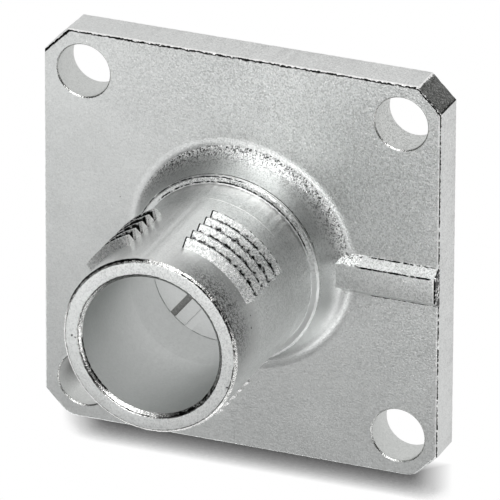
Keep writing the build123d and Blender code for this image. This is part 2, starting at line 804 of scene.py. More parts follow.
@dataclass(frozen=True)
class PaintedEdgeSkin(NickelFinish):
    """The blasted skin, with a dark ragged line painted along the flange's front edges as edge shade, painted
    highlights beside it and on the top and right side faces, and painted shade in the thread's grooves.
    """

    half_width: float = 12.5
    line_width: float = 0.11
    line_height: float = 0.06
    line_grain: float = 0.2
    line_swing: float = 0.04
    side_line_width: float = 0.08
    side_breaks: tuple[float, float] = (0.38, 0.42)
    left_line_width: float = 0.24
    highlight_height: float = 0.16
    highlight_width: float = 0.08
    highlight_share: float = 0.6
    side_highlight_width: float = 0.02
    side_highlight_share: float = 0.22
    soft: float = 0.02
    wide_soft: float = 0.03
    grooves: GrooveShadeLines = GrooveShadeLines()

    def marked(self, spot: Spot) -> list[Layer]:
        """Add the painted shade in the thread's grooves, the painted highlights and the painted dark edge
        line to the marks.

        Args:
            spot: The place to colour.

        Returns:
            Their layers, the lowest first.
        """
        top = self.half_width * MM - spot.along
        side = self.half_width * MM - spot.across
        reach = (2 * self.half_width - CORNER_CUT) * MM
        left_cut = reach - (spot.along - spot.across)
        right_cut = reach - (spot.along + spot.across)
        # Painted highlight: the top and right side faces a little lighter
        side_highlight = (top & side).under(self.side_highlight_width, self.wide_soft) * self.side_highlight_share
        ragged = spot.place.cloud(self.line_grain)
        swing = ragged.swing(-self.line_swing * MM, self.line_swing * MM)
        left = left_cut - (self.left_line_width - self.line_width) * MM
        cuts = (left_cut & right_cut) * math.sqrt(0.5) & left
        # Painted edge shade: a dark ragged line along the top edge and both chamfers, and a thin broken one
        # down the right side
        main = ((top & cuts) + swing).under(self.line_width, self.wide_soft)
        thin = side.under(self.side_line_width, self.soft) * ragged.ramp(*self.side_breaks)
        low = FACE - self.line_height
        lifted = spot.height + swing
        front = lifted.over(low, self.soft)
        beside = side - self.side_line_width * MM + swing
        # Painted highlight: a pale line just behind the dark edge line, and beside the right side's line
        edge_highlight = main * lifted.over(low - self.highlight_height, self.wide_soft)
        edge_highlight = edge_highlight | beside.under(self.highlight_width, self.soft) * self.highlight_share * front
        return super().marked(spot) + [
            self.grooves.layer(spot, spot.place.cloud(self.ring_grain)),
            (side_highlight, linear(self.bright)),
            (edge_highlight, linear(PALE_GRAIN_AND_HIGHLIGHT)),
            ((main | thin) * front, linear(EDGE_SHADE_DARK)),
        ]


@dataclass(frozen=True)
class RidgeFinish(NickelFinish):
    """The thread's finish: a pale grain streaked along the ridges, which partly paints their highlights, with
    painted shade in the grooves and painted lines at the ridges' ends.
    """

    streak: float = 2.0
    dotted_share: float = 0.07
    dotted_run: tuple[float, float] = (0.52, 0.56)
    end_core: float = 0.8
    grooves: GrooveShadeLines = GrooveShadeLines()
    # The ridges' ends: a dark line at 80 degrees paints the shadow beside the first field's ends, a pale one
    # at 114.5 degrees the highlight on the second field's end faces
    ends: tuple[tuple[float, str, float], ...] = ((80.0, "#101110", 0.12), (114.5, PALE_GRAIN_AND_HIGHLIGHT, 0.22))

    def grain_place(self, spot: Spot) -> Wire:
        """Draw the grain out along the ridges."""
        along = spot.angle * (CREST_RADIUS * MM / self.streak)
        inputs = {"X": along, "Y": self.grooves.turn(spot) * (PITCH * MM)}
        return add(along.tree, "ShaderNodeCombineXYZ", inputs)[0]

    def marked(self, spot: Spot) -> list[Layer]:
        """Paint shade in the grooves, dot the crests dark, and paint a shadow line and a highlight at the
        ridges' ends, under the marks.

        Args:
            spot: The place to colour.

        Returns:
            Their layers, the lowest first.
        """
        ragged = spot.place.cloud(self.ring_grain)
        crest = self.grooves.off_crest(spot).ramp(0.5 - self.dotted_share, 0.5 - self.dotted_share / 2)
        dots = crest * ragged.ramp(*self.dotted_run)
        layers = [self.grooves.layer(spot, ragged), (dots, linear(self.grooves.colour))]
        for end, colour, width in self.ends:
            reach = width / CREST_RADIUS
            near = abs(spot.angle - math.radians(end)).ramp(self.end_core * reach, reach, 1.0, 0.0)
            layers.append((near, linear(colour)))
        return layers + super().marked(spot)


@dataclass(frozen=True)
class FlareFinish(NickelFinish):
    """The flare's finish, whose grain is coarsest along the foot's upper side."""

    fine_radius: float = 6.05
    coarse_radius: float = 6.75
    fine_force: float = 0.2
    collar_radius: float = 5.9
    collar_from: float = 1.5
    collar_to: float = 5.5
    collar_force: float = 0.6
    rib_radius: float = 7.8
    rib_force: float = 0.35
    strength_lean: float = 0.3

    def grain_strength(self, spot: Spot) -> Wire:
        """Tell how strong the grain is: strongest along the foot and on the collar's upper side.

        Args:
            spot: The place.

        Returns:
            1 where the grain is strongest, less elsewhere.
        """
        reach = spot.across * self.strength_lean + spot.along
        force = reach.ramp(self.strength_from * MM, self.strength_to * MM, self.strength_least, 1.0)
        foot = spot.radius.ramp(self.fine_radius * MM, self.coarse_radius * MM, self.fine_force, 1.0)
        rib = (spot.radius > self.rib_radius * MM).ramp(0.0, 1.0, 1.0, self.rib_force)
        off_collar = spot.radius > self.collar_radius * MM
        upper = reach.ramp(self.collar_from * MM, self.collar_to * MM, 0.0, self.collar_force)
        return force * foot * off_collar * rib | (1.0 - off_collar) * upper


@dataclass(frozen=True)
class GateFinish(NickelFinish):
    """The dull gate corner, with ragged painted highlights along its front and upper end and a ragged painted
    dark edge line elsewhere.
    """

    border: float = 0.1
    border_soft: float = 0.03
    border_grain: float = 0.16
    border_swing: float = 0.1
    edge_highlight: float = 0.06

    def marked(self, spot: Spot) -> list[Layer]:
        """Draw the borders, painted highlights and a painted dark edge line, under the marks.

        Args:
            spot: The place to colour.

        Returns:
            Their layers, the lowest first.
        """
        swing = spot.place.cloud(self.border_grain).swing(-self.border_swing * MM, self.border_swing * MM)
        run = (spot.across - spot.along) * math.sqrt(0.5)
        end = CORNER_CUT * math.sqrt(0.5) * MM
        front = FACE * MM - spot.height + swing
        edge = end - run + swing & front & spot.height
        bright_front = front + self.edge_highlight * MM
        borders = ((edge, self.dull), (bright_front, self.bright), (run + end + swing, self.bright))
        layers = [(gap.under(self.border, self.border_soft), linear(shade)) for gap, shade in borders]
        return layers + super().marked(spot)


@dataclass
class FlangePlate:
    """The square flange, chamfered at its corners, with a small radius round both faces."""

    width: float
    lower_corner_radius: float = 1.2
    edge_radius: float = 0.12
    edge_steps: int = 4
    corner_steps: int = 6
    spacing: float = 0.1
    raggedness: float = 0.02
    ragged_from: float = 0.3
    ragged_grain: float = 0.22
    ragged_rise: float = 3.0
    ragged_reach: float = 12.0
    hair: float = 0.01

    def outline(self, inset: float) -> list[Point]:
        """Draw the outline, its two lower corners rounded.

        Args:
            inset: How far the outline lies inside the full one, in millimetres.

        Returns:
            The outline's points, anticlockwise.
        """
        half = self.width / 2 - inset
        cut = self.width / 2 - CORNER_CUT - inset * (math.sqrt(2) - 1)
        soft = self.lower_corner_radius - inset
        upper = [(half, cut, 0), (cut, half, 0), (-cut, half, 0), (-half, cut, 0)]
        lower = [(-half, -cut, 0), (-cut, -half, soft), (cut, -half, soft), (half, -cut, 0)]
        return rounded(upper + lower, self.corner_steps)

    def ring(self, inset: float, height: float) -> list[Vector]:
        """Lay a ring of even points round the plate, ragged where it runs along an edge.

        Args:
            inset: How far the ring lies inside the full outline.
            height: The ring's height over the back face.

        Returns:
            The ring's points.
        """
        full, inner = self.outline(0), self.outline(inset)
        middle = FACE / 2
        edge = 1 if abs(height - middle) > middle - self.edge_radius - self.hair else 0
        points = []
        for i, (x, y) in enumerate(inner):
            j = (i + 1) % len(inner)
            count = max(1, round(math.dist(full[i], full[j]) / self.spacing))
            for step in range(count):
                part = step / count
                px, py = x + (inner[j][0] - x) * part, y + (inner[j][1] - y) * part
                spot = Vector((px, py, height * self.ragged_rise))
                wear = min(0, noise.noise(spot / self.ragged_grain) - self.ragged_from)
                pull = 1 + wear * edge * self.raggedness / self.ragged_reach
                points.append(Vector((px * pull, py * pull, height)))
        return points

    def build(self) -> bpy.types.Object:
        """Build the plate.

        Returns:
            The plate's helper object.
        """
        radius = self.edge_radius
        turns = [math.radians(90 * i / self.edge_steps) for i in range(self.edge_steps + 1)]
        rises = [(radius * (1 - math.sin(turn)), radius * (1 - math.cos(turn))) for turn in turns]
        back = [self.ring(inset, height) for inset, height in rises]
        front = [self.ring(inset, FACE - depth) for depth, inset in rises]
        return loft("plate", back + front)


@dataclass
class RadialRib:
    """The raised rib with sloped sides, from the flare to the flange's edge."""

    inner: float
    outer: float
    height: float = 0.7
    foot_width: float = 2.5
    top_width: float = 1.5
    edge_radius: float = 0.08
    edge_steps: int = 4
    sink: float = 1.25
    spacing: float = 0.15

    def section(self, x: float, drop: float) -> list[Vector]:
        """Draw the rib's section at one place along it.

        Args:
            x: The section's distance from the bore's axis.
            drop: How far the crown lies under its full height.

        Returns:
            The section's points.
        """
        crown = self.height - drop
        foot = self.foot_width / 2
        half = self.top_width / 2 + (foot - self.top_width / 2) * drop / self.height
        soft = self.edge_radius
        below = [(-foot, -self.sink, 0), (foot, -self.sink, 0)]
        above = [(foot, 0, 0), (half, crown, soft), (-half, crown, soft), (-foot, 0, 0)]
        return [Vector((x, y, FACE + z)) for y, z in rounded(below + above)]

    def build(self) -> bpy.types.Object:
        """Build the rib.

        Returns:
            The rib's helper object.
        """
        soft = self.edge_radius
        straight = self.outer - soft
        count = round((straight - self.inner) / self.spacing)
        stations = [(self.inner + (straight - self.inner) * i / count, 0.0) for i in range(count)]
        turns = [math.radians(90 * i / self.edge_steps) for i in range(self.edge_steps + 1)]
        stations += [(straight + soft * math.sin(a), soft * (1 - math.cos(a))) for a in turns]
        return loft("rib", [self.section(x, drop) for x, drop in stations])


@dataclass
class TurnedBody:
    """The flared foot, collar, seal seat and barrel, all round one axis."""

    end: float
    foot_radius: float = 7.4
    foot_pull: float = 1.05
    upright_pull: float = 1.2
    flare_steps: int = 28
    flare_height: float = 2.3
    collar_radius: float = 5.95
    collar_height: float = 2.55
    collar_chamfer: float = 0.12
    seat_radius: float = 5.5
    seat_length: float = 2.15
    seat_run: float = 0.5
    barrel_radius: float = 5.45
    rim_chamfer: float = 0.2
    edge_radius: float = 0.04

    def section(self) -> list[Point]:
        """Draw the half section, from the axis round the outside and back to the axis.

        Returns:
            Points as distance from the axis and height.
        """
        shoulder = FACE + self.collar_height
        seat_end = shoulder + self.seat_length
        corners = [(0, FACE / 2, 0), (self.foot_radius, FACE / 2, 0)]
        corners += [(x, y, 0) for x, y in self.flare()]
        outside = [
            (self.collar_radius, shoulder - self.collar_chamfer),
            (self.collar_radius - self.collar_chamfer, shoulder),
            (self.seat_radius, shoulder),
            (self.seat_radius, seat_end),
            (self.barrel_radius, seat_end + self.seat_run),
            (self.barrel_radius, self.end - self.rim_chamfer),
            (self.barrel_radius - self.rim_chamfer, self.end),
        ]
        corners += [(x, y, self.edge_radius) for x, y in outside]
        return rounded([*corners, (0, self.end, 0)])

    def flare(self) -> list[Point]:
        """Draw the flare as one curve, which leaves the face gently and ends upright under the collar.

        Returns:
            Points from the flange's face to the collar's upright wall.
        """
        foot, top = self.foot_radius, FACE + self.flare_height
        points = []
        for step in range(self.flare_steps + 1):
            t = step / self.flare_steps
            a, b, c, d = (1 - t) ** 3, 3 * t * (1 - t) ** 2, 3 * t * t * (1 - t), t**3
            r = a * foot + b * (foot - self.foot_pull) + (c + d) * self.collar_radius
            points.append((r, (a + b) * FACE + c * (top - self.upright_pull) + d * top))
        return points


@dataclass
class ThreadFields:
    """The interrupted right-hand outside thread: fields of ridges on one continuous lead."""

    root_radius: float
    front: float
    crest_width: float = 0.16
    flank_angle: float = 60.0
    root_sink: float = 0.12
    crest_rounding: float = 0.05
    section_spacing: float = 0.1
    path_points: int = 70
    cast_grain: float = 0.16
    cast_depth: float = 0.025

    def section(self) -> list[Point]:
        """Draw one ridge's section, out from the barrel's surface.

        Returns:
            Points as distance from the barrel's surface and height along the axis.
        """
        crest = self.crest_width / 2
        top = CREST_RADIUS - self.root_radius
        root = crest + (top + self.root_sink) * math.tan(math.radians(self.flank_angle / 2))
        soft = self.crest_rounding
        foot = [(-self.root_sink, -root, 0), (-self.root_sink, root, 0)]
        return subdivided(rounded([*foot, (top, crest, soft), (top, -crest, soft)]), self.section_spacing)

    def values(
        self, field: Field, section: bpy.types.Object, material: bpy.types.Material
    ) -> dict[str, object]:
        """Give the tree's inputs for one field.

        Args:
            field: The field.
            section: The ridge's section, drawn as a path.
            material: The finish of the ridges.

        Returns:
            Each input's value by its name.
        """
        return {
            "Section": section,
            "First Angle": math.radians(field.first),
            "Last Angle": math.radians(field.last),
            "Start Angle": math.radians(LEAD_START),
            "Path Radius": (self.root_radius - field.sunk) * MM,
            "Front": self.front * MM,
            "Pitch": PITCH * MM,
            "Turns": TURNS,
            "Path Points": self.path_points,
            "Cast Grain": self.cast_grain * MM,
            "Cast Depth": self.cast_depth * MM,
            "Material": material,
        }

    def tree(self, values: dict[str, object]) -> bpy.types.NodeTree:
        """Build the tree that sweeps one ridge along the lead and repeats it down the field.

        Args:
            values: The tree's inputs for any one field.

        Returns:
            The tree.
        """
        tree, given = new_tree("thread_field", values)
        line = add(tree, "GeometryNodeMeshLine", {"Count": given["Path Points"]})[0]
        share = add(tree, "GeometryNodeInputIndex")["Index"] / (given["Path Points"] - 1.0)
        angle = given["First Angle"] + (given["Last Angle"] - given["First Angle"]) * share
        inputs = {
            "X": given["Path Radius"] * angle.sum("COSINE"),
            "Y": given["Path Radius"] * angle.sum("SINE"),
            "Z": (angle - given["Start Angle"]) / math.tau * given["Pitch"] + given["Front"],
        }
        place = add(tree, "ShaderNodeCombineXYZ", inputs)[0]
        helix = add(tree, "GeometryNodeSetPosition", {"Geometry": line, "Position": place})[0]
        path = add(tree, "GeometryNodeMeshToCurve", {"Mesh": helix})[0]
        upright = add(tree, "GeometryNodeSetCurveNormal", {"Curve": path}, mode="Z_UP")[0]
        section = add(tree, "GeometryNodeObjectInfo", {"Object": given["Section"]})["Geometry"]
        inputs = {"Curve": upright, "Profile Curve": section, "Fill Caps": True}
        ridge = add(tree, "GeometryNodeCurveToMesh", inputs)[0]
        step = add(tree, "ShaderNodeCombineXYZ", {"Z": given["Pitch"] * -1.0})[0]
        starts = add(tree, "GeometryNodeMeshLine", {"Count": given["Turns"], "Offset": step})[0]
        copies = add(tree, "GeometryNodeInstanceOnPoints", {"Points": starts, "Instance": ridge})[0]
        whole = add(tree, "GeometryNodeRealizeInstances", {"Geometry": copies})[0]
        cloud = add(tree, "ShaderNodeTexNoise", {"Scale": 1.0 / given["Cast Grain"], "Detail": 1.0})[0]
        sunk = cloud * given["Cast Depth"] * -1.0
        normal = add(tree, "GeometryNodeInputNormal")[0]
        offset = add(tree, "ShaderNodeVectorMath", {0: normal, "Scale": sunk}, operation="SCALE")[0]
        rough = add(tree, "GeometryNodeSetPosition", {"Geometry": whole, "Offset": offset})[0]
        inputs = {"Geometry": rough, "Material": given["Material"]}
        add(tree, "NodeGroupOutput", {0: add(tree, "GeometryNodeSetMaterial", inputs)[0]})
        return tree

    def build(self, material: bpy.types.Material) -> dict[str, bpy.types.Object]:
        """Build the ridges of every field.

        Args:
            material: The finish of the ridges.

        Returns:
            One helper object for each field, by its name.
        """
        section = path_object("ridge_section", [(x, -y) for x, y in self.section()], closed=True)
        fields = {f"thread_field_{i}": self.values(f, section, material) for i, f in enumerate(FIELDS, 1)}
        tree = self.tree(next(iter(fields.values())))
        found = {name: run_tree(tree, name, values) for name, values in fields.items()}
        bpy.data.objects.remove(section)
        return found


@dataclass
class ThroughBore:
    """The front bore, its ledge, the rear bore and both mouths, with the keyways in the rear bore."""

    end: float
    radius: float = 4.275
    mouth_chamfer: float = 0.25
    rear_radius: float = 4.1
    rear_depth: float = 6.0
    rear_chamfer: float = 0.25
    edge_radius: float = 0.03
    ledge_radius: float = 0.01
    ledge_width: float = 0.03
    lead_in: float = 3.0
    keyways: tuple[tuple[float, float, float], ...] = ((225.7, 0.4, 0.35), (242.6, 0.5, 0.1))

    def section(self) -> list[Point]:
        """Draw the half section of what the bore takes away.

        Returns:
            Points as distance from the axis and height.
        """
        over, soft = self.rear_chamfer, self.edge_radius
        past_end = self.end + self.mouth_chamfer
        corners = [
            (0, -over, 0),
            (self.rear_radius + 2 * over, -over, 0),
            (self.rear_radius, over, soft),
            (self.rear_radius, self.rear_depth, self.ledge_radius),
            (self.rear_radius + self.ledge_width, self.rear_depth, self.ledge_radius),
            (self.radius, self.rear_depth + self.lead_in, soft),
            (self.radius, self.end - self.mouth_chamfer, soft),
            (self.radius + 2 * self.mouth_chamfer, past_end, 0),
            (0, past_end, 0),
        ]
        return rounded(corners)


@dataclass
class ScrewHoles:
    """The four through holes for the screws, with a broken edge at both faces."""

    spacing: float
    radius: float = 1.65
    edge_break: float = 0.08

    def section(self) -> list[Point]:
        """Draw the half section of what one hole takes away.

        Returns:
            Points as distance from the hole's axis and height.
        """
        cut = self.edge_break
        outer = self.radius + 2 * cut
        lower = [(0, -cut, 0), (outer, -cut, 0), (self.radius, cut, cut / 2)]
        upper = [(self.radius, FACE - cut, cut / 2), (outer, FACE + cut, 0), (0, FACE + cut, 0)]
        return rounded(lower + upper)


@dataclass
class Housing:
    """The whole casting: its bodies joined, and its bore, keyways and holes taken away."""

    low: Vector
    high: Vector
    hole_edge_distance: float = 2.5
    thread_setback: float = 3.0
    revolve_steps: int = 360
    hole_steps: int = 120
    smooth_angle: float = 32.0
    wear_grain: float = 0.18
    wear_depth: float = 0.035
    wear_run: tuple[float, float] = (0.35, 0.7)
    ledge_zone: float = 0.3
    level: float = 0.9
    upright: float = 0.5
    upwards: float = 0.3
    hole_upwards: float = 0.2
    hair: float = 0.01
    gap: float = 0.02
    margin: float = 0.05

    def __post_init__(self) -> None:
        """Size the parts of the casting, and the zones of its finishes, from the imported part's box."""
        width = (self.high.x - self.low.x) / MM
        end = self.high.z / MM
        self.plate = FlangePlate(width=width)
        self.body = TurnedBody(end=end)
        self.rib = RadialRib(inner=self.body.collar_radius, outer=width / 2)
        self.thread = ThreadFields(root_radius=self.body.barrel_radius, front=end - self.thread_setback)
        self.bore = ThroughBore(end=end)
        self.holes = ScrewHoles(spacing=width - 2 * self.hole_edge_distance)
        collar_edge = FACE + self.body.collar_height
        self.lengths = {
            "Face": FACE,
            "Path Radius": 1.0,
            "Hole Spacing": self.holes.spacing,
            "Hole Reach": self.holes.radius + 1.5 * self.holes.edge_break,
            "Bore Reach": self.bore.radius + self.bore.mouth_chamfer + self.margin,
            "Keyway Reach": self.bore.radius - self.margin,
            "Keyway Top": self.bore.rear_depth - self.margin,
            "Collar Edge": collar_edge,
            "Collar Wall": FACE + self.body.flare_height + self.body.collar_chamfer / 2,
            "Edge Reach": self.body.collar_chamfer,
            "Crown Height": collar_edge - self.body.collar_chamfer,
            "Flare Reach": self.body.collar_radius + self.hair,
            "Ledge Height": self.bore.rear_depth + self.ledge_zone,
            "Rib End": width / 2 - self.rib.edge_radius - self.gap,
            "Seat Reach": self.body.seat_radius + self.gap,
            "Mouth Height": end - self.bore.mouth_chamfer - self.gap,
            "Thread Root": self.body.barrel_radius + self.hair,
            "Thread Floor": collar_edge + self.body.seat_length + 2 * self.body.seat_run,
            "Rim Height": end - self.body.rim_chamfer - self.body.edge_radius,
            "Gate Reach": width - CORNER_CUT - self.margin,
            "Wear Grain": self.wear_grain,
            "Wear Depth": self.wear_depth,
        }

    def tree(self, values: dict[str, object], fields: list[str]) -> bpy.types.NodeTree:
        """Build the tree that joins the casting and cuts it.

        Args:
            values: The casting's sections, sizes and finishes, which are the tree's inputs.
            fields: The inputs that hold the thread's fields.

        Returns:
            The tree.
        """
        tree, given = new_tree("housing_casting", values)
        body = self.revolved(given, "Body Section", "Steps")
        plate, rib, *ridges = (
            add(tree, "GeometryNodeObjectInfo", {"Object": given[name]})["Geometry"]
            for name in ("Plate", "Rib", *fields)
        )
        solids = {"Mesh 2": [plate, body, rib, *ridges]}
        solid = add(tree, "GeometryNodeMeshBoolean", solids, operation="UNION", solver="MANIFOLD")[0]
        bore = self.revolved(given, "Bore Section", "Steps")
        holes = self.on_corners(given, self.revolved(given, "Hole Section", "Hole Steps"))
        keys = [self.keyway(tree, *key) for key in self.bore.keyways]
        cuts = {"Mesh 1": solid, "Mesh 2": [bore, holes, *keys]}
        cut = add(tree, "GeometryNodeMeshBoolean", cuts, operation="DIFFERENCE", solver="MANIFOLD")[0]
        whole = add(tree, "GeometryNodeRealizeInstances", {"Geometry": cut})[0]
        add(tree, "NodeGroupOutput", {0: self.dressed(given, self.worn(given, whole))})
        return tree

    def revolved(self, given: dict[str, Wire], name: str, steps: str) -> Wire:
        """Revolve a half section about the Z axis.

        Args:
            given: The tree's inputs.
            name: The input that holds the section, which is drawn from the path's radius.
            steps: The input that holds the number of steps round.

        Returns:
            The closed body.
        """
        tree = given[name].tree
        circle = {"Resolution": given[steps], "Radius": given["Path Radius"]}
        path = add(tree, "GeometryNodeCurvePrimitiveCircle", circle, mode="RADIUS")[0]
        section = add(tree, "GeometryNodeObjectInfo", {"Object": given[name]})["Geometry"]
        swept = add(tree, "GeometryNodeCurveToMesh", {"Curve": path, "Profile Curve": section})[0]
        return add(tree, "GeometryNodeMergeByDistance", {"Geometry": swept, "Distance": MERGED})[0]

    def on_corners(self, given: dict[str, Wire], hole: Wire) -> Wire:
        """Repeat the hole at the four places of the screws.

        Args:
            given: The tree's inputs.
            hole: What one hole takes away.

        Returns:
            The four holes.
        """
        spacing = given["Hole Spacing"]
        inputs = {"Size X": spacing, "Size Y": spacing, "Vertices X": 2, "Vertices Y": 2}
        grid = add(hole.tree, "GeometryNodeMeshGrid", inputs)[0]
        copies = add(hole.tree, "GeometryNodeInstanceOnPoints", {"Points": grid, "Instance": hole})[0]
        return add(hole.tree, "GeometryNodeRealizeInstances", {"Geometry": copies})[0]

    def keyway(self, tree: bpy.types.NodeTree, angle: float, width: float, depth: float) -> Wire:
        """Cut one axial slot into the rear bore's wall, open at the back.

        Args:
            tree: The casting's tree.
            angle: The slot's angle from +X.
            width: The slot's width.
            depth: The slot's depth.

        Returns:
            What the slot takes away.
        """
        reach = (self.bore.rear_radius + depth) * MM
        size = (reach, width * MM, 2 * self.bore.rear_depth * MM)
        box = add(tree, "GeometryNodeMeshCube", {"Size": size})[0]
        inputs = {"Geometry": box, "Translation": (reach / 2, 0, 0)}
        moved = add(tree, "GeometryNodeTransform", inputs)[0]
        inputs = {"Geometry": moved, "Rotation": (0, 0, math.radians(angle))}
        return add(tree, "GeometryNodeTransform", inputs)[0]

    def worn(self, given: dict[str, Wire], solid: Wire) -> Wire:
        """Let the edges of the rim, the mouth and the collar run unevenly, as blasting leaves them.

        Args:
            given: The tree's inputs.
            solid: The cut casting.

        Returns:
            The worn casting.
        """
        tree = solid.tree
        spot = Spot.read(add(tree, "GeometryNodeInputPosition")[0])
        near_collar = abs(spot.height - given["Collar Edge"]) < given["Edge Reach"]
        collar = near_collar * (spot.radius > given["Thread Root"])
        rim = spot.height > given["Rim Height"]
        outwards = (spot.radius < given["Bore Reach"]) * 2.0 - 1.0
        cloud = add(tree, "ShaderNodeTexNoise", {"Scale": 1.0 / given["Wear Grain"], "Detail": 2.0})["Fac"]
        wear = cloud.ramp(*self.wear_run) * given["Wear Depth"]
        amount = (rim | collar) * wear * outwards / spot.radius
        flat = add(tree, "ShaderNodeCombineXYZ", {"X": spot.across, "Y": spot.along})[0]
        offset = add(tree, "ShaderNodeVectorMath", {0: flat, "Scale": amount}, operation="SCALE")[0]
        return add(tree, "GeometryNodeSetPosition", {"Geometry": solid, "Offset": offset})[0]

    def dressed(self, given: dict[str, Wire], solid: Wire) -> Wire:
        """Give each surface of the casting its finish, by where its faces lie.

        Args:
            given: The tree's inputs.
            solid: The cut casting.

        Returns:
            The dressed casting.
        """
        tree = solid.tree
        spot = Spot.read(add(tree, "GeometryNodeInputPosition")[0])
        height, radius = spot.height, spot.radius
        normal = add(tree, "GeometryNodeInputNormal")[0]
        facing = add(tree, "ShaderNodeSeparateXYZ", {0: normal})["Z"]
        leaning = facing < self.level
        half = given["Hole Spacing"] * 0.5
        wall = (height & abs(height - given["Face"])) > self.hair * MM
        hole_reach = (abs(spot.across) - half).distance(abs(spot.along) - half)
        in_hole = wall * (hole_reach < given["Hole Reach"])
        in_mouth = radius < given["Bore Reach"]
        in_bore = wall * in_mouth
        deep = (radius > given["Keyway Reach"]) * (height < given["Keyway Top"])
        ledge = (height < given["Ledge Height"]) * (facing > self.upwards)
        over_plate = height > given["Face"] + self.hair * MM
        to_collar = height < given["Collar Edge"] + self.hair * MM
        foot = over_plate * to_collar * (radius > given["Seat Reach"])
        slope = (radius > given["Flare Reach"]) * leaning * (spot.across < given["Rib End"])
        collar_wall = abs(height - given["Collar Wall"]) < given["Edge Reach"]
        at_rim = height > given["Rim Height"]
        at_mouth = in_mouth * (height > given["Mouth Height"])
        worn_collar = foot * collar_wall * (abs(facing) < self.upright)
        worn_hole = in_hole * leaning * (facing > self.hole_upwards)
        zones = {
            Surface.FLARE: foot * (slope | (height > given["Crown Height"])),
            Surface.HOLE: in_hole,
            Surface.CREST: (height > given["Thread Floor"]) * (radius > given["Thread Root"]),
            Surface.BORE: in_bore,
            Surface.LEDGE: in_bore * ledge,
            Surface.KEYWAY: in_bore * deep,
            Surface.RIM: at_rim,
            Surface.EDGE: (at_rim | at_mouth) * leaning | worn_collar | worn_hole,
            Surface.GATE: spot.across + spot.along > given["Gate Reach"],
        }
        skin = {"Geometry": solid, "Material": given[Surface.SKIN.value]}
        shape = add(tree, "GeometryNodeSetMaterial", skin)[0]
        for surface, zone in zones.items():
            inputs = {"Geometry": shape, "Selection": zone, "Material": given[surface.value]}
            shape = add(tree, "GeometryNodeSetMaterial", inputs)[0]
        return shape

    def sections(self) -> dict[str, bpy.types.Object]:
        """Draw the revolved sections as helper objects.

        Returns:
            The helper objects by the name of the tree's input.
        """
        path = self.lengths["Path Radius"]
        drawn = {"Body Section": self.body, "Bore Section": self.bore, "Hole Section": self.holes}
        return {
            name: path_object(name, [(r - path, -z) for r, z in reversed(piece.section())], closed=False)
            for name, piece in drawn.items()
        }

    def build(self, finishes: dict[Surface, bpy.types.Material]) -> bpy.types.Object:
        """Build the casting.

        Args:
            finishes: The material of each surface.

        Returns:
            The finished piece, one closed mesh.
        """
        fields = self.thread.build(finishes[Surface.CREST])
        helpers = {"Plate": self.plate.build(), "Rib": self.rib.build(), **self.sections(), **fields}
        values = {
            **helpers,
            **{name: length * MM for name, length in self.lengths.items()},
            "Steps": self.revolve_steps,
            "Hole Steps": self.hole_steps,
            **{surface.value: material for surface, material in finishes.items()},
        }
        piece = run_tree(self.tree(values, list(fields)), "housing", values)
        for helper in helpers.values():
            bpy.data.objects.remove(helper)
        piece.data.shade_smooth()
        piece.data.set_sharp_from_angle(angle=math.radians(self.smooth_angle))
        weights = piece.modifiers.new("even_faces", "WEIGHTED_NORMAL")
        weights.keep_sharp = True
        return piece


@dataclass(frozen=True)
class Softbox:
    """A round diffused lamp that faces the part."""

    name: str
    azimuth: float
    elevation: float
    power: float
    size: float = 100.0
    distance: float = 250.0

    def build(self) -> bpy.types.Object:
        """Hang the lamp.

        Returns:
            The lamp's object.
        """
        turn, rise = math.radians(self.azimuth), math.radians(self.elevation)
        way = Vector((math.cos(rise) * math.cos(turn), math.cos(rise) * math.sin(turn), math.sin(rise)))
        lamp = bpy.data.lights.new(self.name, "AREA")
        lamp.shape = "DISK"
        lamp.size = self.size * MM
        lamp.energy = self.power
        item = object_of(lamp, self.name)
        item.location = way * self.distance * MM
        item.rotation_euler = way.to_track_quat("Z", "Y").to_euler()
        return item


